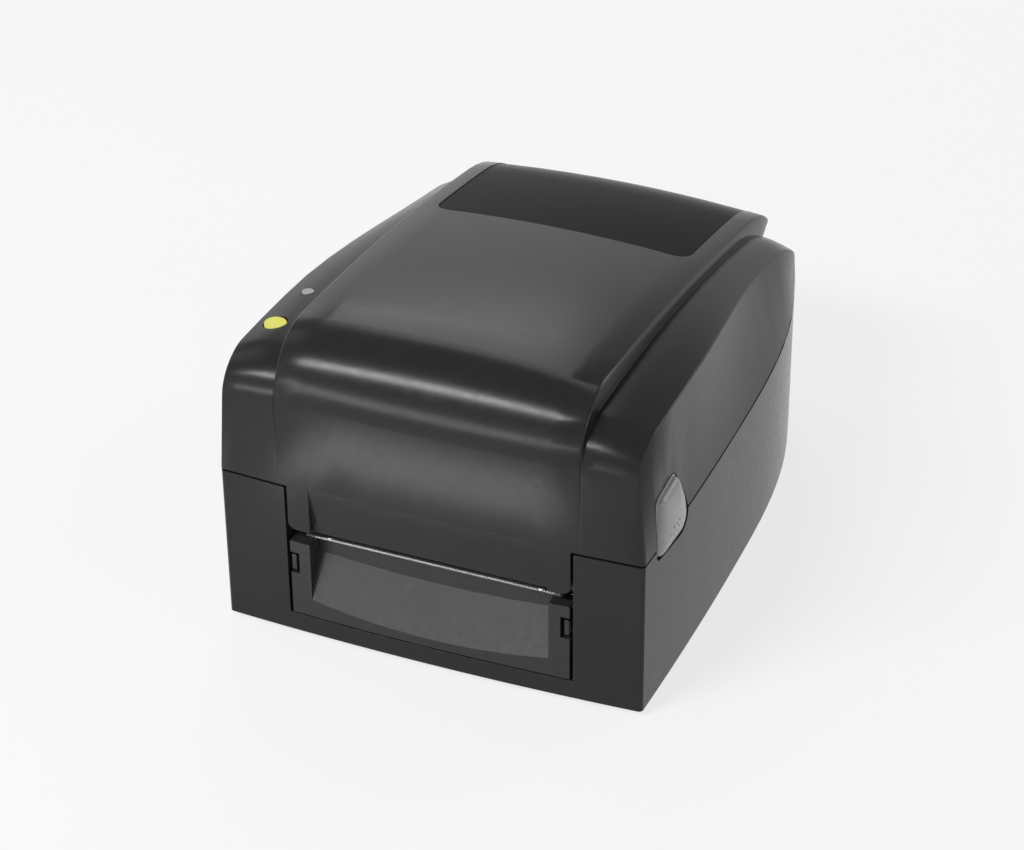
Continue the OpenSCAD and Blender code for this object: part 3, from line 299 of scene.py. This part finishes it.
@dataclass(frozen=True)
class Plastic:
    """Moulded plastic with a fine spark-eroded grain.

    Scales are in features to a metre and depths in metres. The grain's pits are coarser and
    shallower than its noise by the same share.
    """

    name: str
    colour: Colour
    roughness: float = 0.45
    grain: float = 2200.0
    depth: float = 0.000005
    variation: float = 0.06
    specular: float = 0.5
    edge_mm: float = 0.3
    cloud_scale: float = 38.0
    cloud_detail: float = 3.0
    polish_scale: float = 260.0
    polish_spread: float = 0.03
    pit_share: float = 0.6

    def make(self) -> bpy.types.Material:
        """Build the material.

        Returns:
            The material.
        """
        graph = Graph(self.name)
        light = tuple(min(1.0, part * (1 + self.variation)) for part in self.colour)
        dark = tuple(part * (1 - self.variation) for part in self.colour)
        graph.tint(graph.noise(self.cloud_scale, self.cloud_detail), dark, light)
        polish = graph.noise(self.polish_scale)
        low, high = self.roughness - self.polish_spread, self.roughness + self.polish_spread
        graph.feed(graph.span(polish, low, high), "Roughness")
        graph.set("Specular IOR Level", self.specular)
        grain = graph.noise(self.grain, detail=1.0)
        pits = graph.cells(self.grain * self.pit_share)
        graph.bump([(grain, self.depth), (pits, self.depth * self.pit_share)], self.edge_mm * MM)
        return graph.material


@dataclass(frozen=True)
class Metal:
    """Bare or plated metal with a directional brushing."""

    name: str
    colour: Colour
    roughness: float = 0.3
    stretch: Point = (1.0, 40.0, 40.0)
    depth: float = 0.000004
    brush_scale: float = 90.0
    brush_spread: float = 0.06
    stain_scale: float = 30.0
    stain_share: float = 0.9

    def make(self) -> bpy.types.Material:
        """Build the material.

        Returns:
            The material.
        """
        graph = Graph(self.name)
        graph.set("Metallic", 1.0)
        brushing = graph.noise(self.brush_scale, stretch=self.stretch)
        stained = tuple(part * self.stain_share for part in self.colour)
        graph.tint(graph.noise(self.stain_scale), stained, self.colour)
        low, high = self.roughness - self.brush_spread, self.roughness + self.brush_spread
        graph.feed(graph.span(brushing, low, high), "Roughness")
        graph.bump([(brushing, self.depth)])
        return graph.material


@dataclass(frozen=True)
class Board:
    """Solder-masked circuit board with faint copper tracks."""

    name: str
    colour: Colour
    roughness: float = 0.35
    track_scale: float = 320.0
    track_gain: float = 1.7
    track_depth: float = 0.00002

    def make(self) -> bpy.types.Material:
        """Build the material.

        Returns:
            The material.
        """
        graph = Graph(self.name)
        tracks = graph.cells(self.track_scale)
        graph.tint(tracks, self.colour, tuple(part * self.track_gain for part in self.colour))
        graph.set("Roughness", self.roughness)
        graph.bump([(tracks, self.track_depth)])
        return graph.material


FINISHES: dict[Slot, Plastic | Metal | Board] = {
    Slot.SHELL: Plastic(
        "charcoal_shell", (0.017, 0.0173, 0.0186), roughness=0.23, specular=0.2, edge_mm=0.5),
    Slot.PANEL: Plastic(
        "charcoal_panel", (0.026, 0.0264, 0.028),
        roughness=0.3, depth=0.000002, specular=0.25, edge_mm=0.5),
    Slot.WINDOW: Plastic(
        "smoked_window", (0.006, 0.0062, 0.007),
        roughness=0.22, depth=0.000002, specular=0.02, edge_mm=0.5),
    Slot.GREY: Plastic(
        "grey_button", (0.30, 0.305, 0.31), roughness=0.3, depth=0.000003, variation=0.02),
    Slot.YELLOW: Plastic("yellow_key", (0.80, 0.78, 0.09), roughness=0.4, depth=0.000004),
    Slot.STEEL: Metal("brushed_steel", (0.62, 0.63, 0.65)),
    Slot.DARK_METAL: Plastic("painted_metal", (0.09, 0.093, 0.098), roughness=0.5, grain=900.0),
    Slot.RUBBER: Plastic("black_rubber", (0.014, 0.014, 0.015), roughness=0.75, grain=1500.0),
    Slot.NYLON: Plastic("natural_nylon", (0.62, 0.60, 0.54), roughness=0.38, depth=0.000006),
    Slot.BRASS: Metal("turned_brass", (0.62, 0.45, 0.20)),
    Slot.BOARD: Board("circuit_board", (0.012, 0.075, 0.035)),
    Slot.BLACK: Plastic("black_plastic", (0.018, 0.018, 0.019), roughness=0.4),
}
SINGLE_FINISHES: dict[str, Plastic | Metal] = {
    "status_lens": Plastic("frosted_lens", (0.24, 0.245, 0.25), roughness=0.2, depth=0.000002),
    "tear_bar": Metal("cut_steel", (0.86, 0.86, 0.88), roughness=0.5),
}


class Finishes:
    """Makes each finish once and dresses objects with it."""

    def __init__(self) -> None:
        """Build every material that more than one piece may wear."""
        self.materials = {slot: finish.make() for slot, finish in FINISHES.items()}

    def dress(self, piece: bpy.types.Object, slot: Slot) -> None:
        """Give a piece one finish.

        Args:
            piece: Object to dress.
            slot: Finish to use.
        """
        if not piece.data.materials:
            piece.data.materials.append(self.materials[slot])
        for holder in piece.material_slots:
            holder.material = self.materials[slot]

    def dress_nodes(self) -> None:
        """Give every solid the finish of its slot in the record, or one of its own."""
        for row in frame["record"]["subparts"]:
            self.dress(frame["nodes"][row["node"]], Slot(row["material_slot"]))
        for node, finish in SINGLE_FINISHES.items():
            frame["nodes"][node].material_slots[0].material = finish.make()


@dataclass
class Assembly:
    """Pieces that are dressed and ride on the bodies of the frame."""

    finishes: Finishes

    def place(
        self, mesh: bpy.types.Mesh, slot: Slot, body: str, node: str | None = None
    ) -> bpy.types.Object:
        """Make a piece of a mesh, dress it and give it a body to ride on.

        Args:
            mesh: Finished mesh, with the name of the piece.
            slot: Finish of the piece.
            body: Name of the body that carries it.
            node: Name of the solid that it replaces, if any.

        Returns:
            The new piece.
        """
        piece = bpy.data.objects.new(mesh.name, mesh)
        bpy.context.scene.collection.objects.link(piece)
        self.finishes.dress(piece, slot)
        if node is not None:
            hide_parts(node)
        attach(piece, body)
        LOG.info("%s: %d faces, rides on %s", piece.name, len(mesh.polygons), body)
        return piece


@dataclass(frozen=True)
class Sample:
    """A point of a surface, with the surface's normal and the area that it stands for."""

    point: Vector
    normal: Vector
    area: float


@dataclass
class EvenNormals:
    """Normals that are means over a small neighbourhood, so a curve's triangles don't show."""

    reach_mm: float = 8.0
    spacing_mm: float = 2.5
    alike_deg: float = 12.0
    digits: int = 3

    def spread(self, corners: list[Vector], area: float) -> list[Vector]:
        """Spread points evenly over a triangle.

        Args:
            corners: Its three corners.
            area: Its area in square metres.

        Returns:
            The points.
        """
        lengths = [(corners[(i + 1) % 3] - corners[i]).length for i in range(3)]
        first = lengths.index(max(lengths))
        base, end, tip = (corners[(first + i) % 3] for i in range(3))
        across = math.ceil(lengths[first] / (self.spacing_mm * MM))
        rows = math.ceil(2 * area / lengths[first] / (self.spacing_mm * MM)) or 1
        points = []
        for row in range(rows):
            share = math.sqrt((row + 0.5) / rows)
            for step in range(across):
                points.append(tip.lerp(base.lerp(end, (step + 0.5) / across), share))
        return points

    def sample(self, mesh: bpy.types.Mesh) -> list[Sample]:
        """Cover a mesh of triangles with samples.

        Args:
            mesh: Mesh to cover.

        Returns:
            The samples.
        """
        samples = []
        for face in mesh.polygons:
            points = self.spread([mesh.vertices[i].co for i in face.vertices], face.area)
            share = face.area / len(points)
            samples.extend(Sample(point, face.normal.copy(), share) for point in points)
        return samples

    def mean(self, tree: KDTree, samples: list[Sample], place: Vector, own: Vector) -> Vector:
        """Average the normals round a place, of those that point much as its own does.

        Args:
            tree: Search tree of the samples.
            samples: Samples of the surface.
            place: Place of the corner.
            own: Its own normal.

        Returns:
            The mean, of length one.
        """
        reach, alike = self.reach_mm * MM, math.cos(math.radians(self.alike_deg))
        total = Vector()
        for _, index, distance in tree.find_range(place, reach):
            found = samples[index]
            if found.normal.dot(own) > alike:
                total += found.normal * (found.area * (1 - distance / reach))
        return total.normalized() if total.length > 0 else own

    def apply(self, mesh: bpy.types.Mesh) -> None:
        """Give a mesh its even normals.

        Args:
            mesh: Mesh of triangles with its sharp edges marked.
        """
        samples = self.sample(mesh)
        tree = KDTree(len(samples))
        for index, sample in enumerate(samples):
            tree.insert(sample.point, index)
        tree.balance()
        known: dict[tuple, Vector] = {}
        normals = []
        for loop, corner in zip(mesh.loops, mesh.corner_normals):
            own = corner.vector.copy()
            key = (loop.vertex_index, *(round(part, self.digits) for part in own))
            if key not in known:
                place = mesh.vertices[loop.vertex_index].co
                known[key] = self.mean(tree, samples, place, own)
            normals.append(known[key])
        mesh.normals_split_custom_set(normals)
        LOG.info("%s: normals from %d samples", mesh.name, len(samples))


@dataclass(frozen=True)
class Shell:
    """How the copy of one moulded solid is smoothed."""

    curved: bool = False
    sharp_deg: float = 32.0
    edge_mm: float = 0.0


@dataclass
class SmoothShells(Assembly):
    """Copies of the moulded solids with smooth surfaces and softened edges."""

    shells: dict[str, Shell] = field(default_factory=lambda: {
        "cover_shell": Shell(curved=True),
        "cover_window": Shell(curved=True),
        "lower_case": Shell(sharp_deg=20.0),
        "front_panel": Shell(sharp_deg=11.0),
        "feed_button": Shell(edge_mm=0.3),
        "panel_tab_left": Shell(edge_mm=0.2),
        "panel_tab_right": Shell(edge_mm=0.2),
    })
    flat_deg: float = 0.03
    bevel_from_deg: float = 40.0
    bevel_segments: int = 5
    normals: EvenNormals = field(default_factory=EvenNormals)

    def skin(self, node: str, shell: Shell) -> bpy.types.Mesh:
        """Copy a solid's mesh for smooth shading.

        Args:
            node: Name of the solid.
            shell: How it is smoothed.

        Returns:
            The new mesh.
        """
        work = merged_copy(node)
        if not shell.curved:
            bmesh.ops.dissolve_limit(
                work, angle_limit=math.radians(self.flat_deg), verts=work.verts, edges=work.edges)
        mesh = smooth_mesh(work, node + "_skin", shell.sharp_deg)
        if shell.curved:
            self.normals.apply(mesh)
        return mesh

    def soften(self, piece: bpy.types.Object, shell: Shell) -> None:
        """Add the modifiers that round a piece's edges and weight its normals.

        Args:
            piece: Piece to soften.
            shell: How it is smoothed.
        """
        if shell.edge_mm > 0:
            bevel = piece.modifiers.new("edges", "BEVEL")
            bevel.width = shell.edge_mm * MM
            bevel.segments = self.bevel_segments
            bevel.limit_method = "ANGLE"
            bevel.angle_limit = math.radians(self.bevel_from_deg)
        if not shell.curved:
            weights = piece.modifiers.new("normals", "WEIGHTED_NORMAL")
            weights.mode = "FACE_AREA_WITH_ANGLE"
            weights.keep_sharp = True

    def build(self) -> None:
        """Make and attach every copy."""
        slots = {row["node"]: row["material_slot"] for row in frame["record"]["subparts"]}
        bodies = frame["record"]["behaviour"]["bodies"]
        for node, shell in self.shells.items():
            body = next(name for name, nodes in bodies.items() if node in nodes)
            piece = self.place(self.skin(node, shell), Slot(slots[node]), body, node)
            self.soften(piece, shell)


@dataclass
class ReleaseButtons(Assembly):
    """Release buttons with a pillowed face that rises from the wall of the housing.

    Each loop of the pillow is a share of the rim's size and a rise over it in millimetres.
    """

    middle_mm: tuple[float, float] = (-104.0, 97.0)
    cut_mm: float = 108.3
    loops: tuple[tuple[float, float], ...] = (
        (0.95, 0.2), (0.94, 1.0), (0.915, 1.95), (0.87, 2.8), (0.8, 3.55), (0.7, 4.1),
        (0.56, 4.63), (0.4, 5.03), (0.2, 5.35))
    sharp_deg: float = 55.0
    pieces: dict[Side, bpy.types.Object] = field(default_factory=dict)

    def skin(self, node: str, sign: float) -> bpy.types.Mesh:
        """Cut the solid's face off at the wall and raise a pillow in its place.

        Args:
            node: Name of the solid.
            sign: Sign of X on the button's side.

        Returns:
            The new mesh.
        """
        work = merged_copy(node)
        cut = bmesh.ops.bisect_plane(
            work, geom=work.verts[:] + work.edges[:] + work.faces[:], dist=SNAP,
            plane_co=(sign * self.cut_mm * MM, 0.0, 0.0), plane_no=(sign, 0.0, 0.0),
            clear_outer=True)["geom_cut"]
        rim = [item for item in cut if isinstance(item, bmesh.types.BMEdge)]
        face = bmesh.ops.contextual_create(work, geom=rim)["faces"][0]
        middle = Vector((0.0, *self.middle_mm)) * MM
        size = 1.0
        for scale, rise in self.loops:
            face = bmesh.ops.extrude_discrete_faces(work, faces=[face])["faces"][0]
            for vert in face.verts:
                vert.co = middle + (vert.co - middle) * (scale / size)
                vert.co.x = sign * (self.cut_mm + rise) * MM
            size = scale
        bmesh.ops.recalc_face_normals(work, faces=work.faces)
        return smooth_mesh(work, node + "_skin", self.sharp_deg)

    def build(self) -> None:
        """Make and attach both buttons."""
        for side in Side:
            node = side.tag("release_button")
            mesh = self.skin(node, side.value)
            self.pieces[side] = self.place(mesh, Slot.GREY, side.tag("button"), node)


@dataclass
class DimpleShadeDots(Assembly):
    """Rows of small dark beads on the face of the release buttons. The grip dimples' places are
    real; the beads' darkness is painted shade that stands in for the dimples' hollows.
    """

    buttons: ReleaseButtons
    rows_mm: tuple[float, ...] = (94.5, 90.7, 86.7)
    columns_mm: tuple[float, ...] = (-104.0, -107.5, -111.0)
    outside_mm: float = 120.0
    dot_r_mm: float = 0.75
    dot_height: float = 0.16
    roundness: int = 2

    def dot(
        self, work: bmesh.types.BMesh, face: BVHTree, sign: float, place: tuple[float, float]
    ) -> None:
        """Add one flat dark bead, painted shade of a dimple, where a line along X meets the
        button's face.

        Args:
            work: Mesh to add to.
            face: Search tree of the button's face.
            sign: Sign of X on the button's side.
            place: Place along Y and Z in millimetres.
        """
        start = Vector((sign * self.outside_mm, *place)) * MM
        spot, square, _, _ = face.ray_cast(start, Vector((-sign, 0.0, 0.0)))
        made = bmesh.ops.create_icosphere(
            work, subdivisions=self.roundness, radius=self.dot_r_mm * MM)["verts"]
        bmesh.ops.scale(work, vec=(1.0, 1.0, self.dot_height), verts=made)
        turn = square.to_track_quat("Z", "Y").to_matrix()
        bmesh.ops.rotate(work, cent=(0.0, 0.0, 0.0), matrix=turn, verts=made)
        bmesh.ops.translate(work, vec=spot, verts=made)

    def build(self) -> None:
        """Make the painted-shade dots of both buttons."""
        for side in Side:
            button = bmesh.new()
            button.from_mesh(self.buttons.pieces[side].data)
            face = BVHTree.FromBMesh(button)
            work = bmesh.new()
            for row in self.rows_mm:
                for column in self.columns_mm:
                    self.dot(work, face, side.value, (column, row))
            button.free()
            mesh = smooth_mesh(work, side.tag("dimple_shade_dots"))
            # The black finish paints the shade inside each grip dimple.
            self.place(mesh, Slot.BLACK, side.tag("button"))


@dataclass
class LensRim(Assembly):
    """Dark ring round the status lens."""

    middle_mm: tuple[float, float] = (-92.4, -68.2)
    inner_mm: float = 3.25
    outer_mm: float = 4.0
    low_mm: float = 150.6
    high_mm: float = 152.25
    soft_mm: float = 0.25
    soft_segments: int = 3
    steps: int = 48
    skin_corners: int = 4

    def build(self) -> None:
        """Spin the ring's section round the lens, and take out the face that it started from."""
        section = [
            (self.inner_mm, self.low_mm), (self.outer_mm, self.low_mm),
            (self.outer_mm, self.high_mm), (self.inner_mm, self.high_mm)]
        middle = Vector((*self.middle_mm, 0.0)) * MM
        work = bmesh.new()
        made = [work.verts.new(middle + Vector((x, 0.0, z)) * MM) for x, z in section]
        work.faces.new(made)
        upper = [vert for vert in made if vert.co.z > (self.high_mm - self.soft_mm) * MM]
        bmesh.ops.bevel(
            work, geom=upper, affect="VERTICES", offset=self.soft_mm * MM,
            segments=self.soft_segments, profile=0.5, material=-1)
        bmesh.ops.spin(
            work, geom=work.faces[:], cent=middle, axis=(0.0, 0.0, 1.0),
            angle=math.tau, steps=self.steps, use_merge=True)
        start = [face for face in work.faces if len(face.verts) > self.skin_corners]
        bmesh.ops.delete(work, geom=start, context="FACES_ONLY")
        bmesh.ops.recalc_face_normals(work, faces=work.faces)
        self.place(smooth_mesh(work, "lens_rim"), Slot.BLACK, "cover")


@dataclass(frozen=True)
class Lamp:
    """Rectangular soft lamp, in metres, by the middles of its two ends and the point it faces."""

    name: str
    low: Point
    high: Point
    width: float
    radiance: float
    faces: Point = (0.0, 0.0, 0.1)


LAMPS: tuple[Lamp, ...] = (
    Lamp("front_strip", (-1.10, -1.20, 1.27), (-0.24, -1.28, 1.62), 0.22, 36.0),
    Lamp("front_low", (-0.72, -1.80, 0.06), (-0.70, -1.76, 0.42), 0.9, 6.5),
    Lamp("floor_card", (-0.065, -0.250, 0.004), (-0.065, -0.330, 0.004), 0.17, 5.0,
         faces=(-0.065, -0.290, 1.0)),
    Lamp("back_box", (-0.68, 1.56, 0.85), (-0.48, 0.76, 1.77), 0.6, 2.4),
    Lamp("left_box", (-1.90, 0.10, 0.90), (-1.30, 0.20, 1.80), 0.8, 0.9),
    Lamp("right_box", (1.25, 1.35, 0.45), (0.95, 1.25, 1.25), 0.5, 4.0),
    Lamp("right_card", (1.90, -0.10, 0.15), (1.90, -0.10, 0.60), 0.5, 7.0),
)


@dataclass
class Studio:
    """Camera, lamps, floor and backdrop. The floor's lengths are in metres."""

    place_mm: Point = (513.9, -1282.5, 1001.3)
    yaw_deg: float = 22.365
    pitch_deg: float = 34.461
    roll_deg: float = -0.522
    lens: float = 115.33
    sensor: float = 36.0
    far: float = 20.0
    ambient: float = 0.4
    ceiling: float = 0.4
    ceiling_rise: tuple[float, float] = (0.25, 0.5)
    floor_white: float = 0.75
    floor_half: float = 6.0
    floor_drop: float = 0.0002
    floor_roughness: float = 0.9
    floor_specular: float = 0.1
    floor_scale: float = 2.0
    floor_colours: tuple[Colour, Colour] = ((0.86, 0.86, 0.87), (0.88, 0.88, 0.88))

    def camera(self) -> None:
        """Set the camera."""
        yaw, pitch, roll = map(math.radians, (self.yaw_deg, self.pitch_deg, self.roll_deg))
        ahead = Vector((
            -math.sin(yaw) * math.cos(pitch), math.cos(yaw) * math.cos(pitch), -math.sin(pitch)))
        level = Vector((math.cos(yaw), math.sin(yaw), 0.0))
        upright = level.cross(ahead)
        right = level * math.cos(roll) + upright * math.sin(roll)
        up = upright * math.cos(roll) - level * math.sin(roll)
        data = bpy.data.cameras.new("camera")
        data.lens = self.lens
        data.sensor_width = self.sensor
        data.sensor_fit = "HORIZONTAL"
        data.clip_end = self.far
        camera = bpy.data.objects.new("camera", data)
        turn = Matrix((right, up, -ahead)).transposed().to_4x4()
        camera.matrix_world = Matrix.Translation(Vector(self.place_mm) * MM) @ turn
        bpy.context.scene.collection.objects.link(camera)
        bpy.context.scene.camera = camera

    def lamp(self, lamp: Lamp) -> None:
        """Set up one lamp.

        Args:
            lamp: Lamp to set up.
        """
        middle = (Vector(lamp.low) + Vector(lamp.high)) / 2
        along = Vector(lamp.high) - Vector(lamp.low)
        away = middle - Vector(lamp.faces)
        data = bpy.data.lights.new(lamp.name, "AREA")
        data.shape = "RECTANGLE"
        data.size, data.size_y = lamp.width, along.length
        data.energy = lamp.radiance * math.pi * lamp.width * along.length
        turned = along - away * (along.dot(away) / away.length_squared)
        upright, back = turned.normalized(), away.normalized()
        item = bpy.data.objects.new(lamp.name, data)
        turn = Matrix((upright.cross(back), upright, back)).transposed().to_4x4()
        item.matrix_world = Matrix.Translation(middle) @ turn
        item.visible_camera = False
        bpy.context.scene.collection.objects.link(item)

    def world(self) -> None:
        """Give the surroundings a soft grey light, seen as white up to a greyer ceiling."""
        world = bpy.data.worlds.new("surroundings")
        world.use_nodes = True
        tree = world.node_tree
        back = tree.nodes["Background"]
        ways = tree.nodes.new("ShaderNodeTexCoord")
        split = tree.nodes.new("ShaderNodeSeparateXYZ")
        grey = tree.nodes.new("ShaderNodeMapRange")
        grey.interpolation_type = "SMOOTHSTEP"
        grey.inputs["From Min"].default_value = self.ceiling_rise[0]
        grey.inputs["From Max"].default_value = self.ceiling_rise[1]
        grey.inputs["To Min"].default_value = 1.0
        grey.inputs["To Max"].default_value = self.ceiling
        tree.links.new(ways.outputs["Generated"], split.inputs["Vector"])
        tree.links.new(split.outputs["Z"], grey.inputs["Value"])
        tree.links.new(grey.outputs["Result"], back.inputs["Color"])
        tree.links.new(seen_share(tree, self.ambient, 1.0), back.inputs["Strength"])
        bpy.context.scene.world = world

    def floor(self) -> None:
        """Lay the pale floor."""
        mesh = bpy.data.meshes.new("floor")
        work = bmesh.new()
        bmesh.ops.create_grid(work, x_segments=1, y_segments=1, size=self.floor_half)
        bmesh.ops.translate(work, verts=work.verts, vec=(0.0, 0.0, -self.floor_drop))
        work.to_mesh(mesh)
        work.free()
        floor = bpy.data.objects.new("floor", mesh)
        bpy.context.scene.collection.objects.link(floor)
        graph = Graph("pale_floor")
        graph.set("Roughness", self.floor_roughness)
        graph.set("Specular IOR Level", self.floor_specular)
        graph.tint(graph.noise(self.floor_scale), *self.floor_colours)
        graph.show_white(self.floor_white)
        mesh.materials.append(graph.material)

    def build(self) -> None:
        """Set up the whole studio."""
        bpy.context.scene.view_settings.view_transform = "Standard"
        self.camera()
        self.world()
        self.floor()
        for lamp in LAMPS:
            self.lamp(lamp)
        LOG.info("studio: camera, world, floor and %d lamps", len(LAMPS))


def main() -> None:
    """Build the scene in order."""
    logging.basicConfig(level=logging.INFO)
    Studio().build()
    finishes = Finishes()
    finishes.dress_nodes()
    SmoothShells(finishes).build()
    buttons = ReleaseButtons(finishes)
    buttons.build()
    # Dark dots on the buttons: painted shade of the grip dimples.
    DimpleShadeDots(finishes, buttons).build()
    LensRim(finishes).build()


if __name__ == "__main__":
    main()
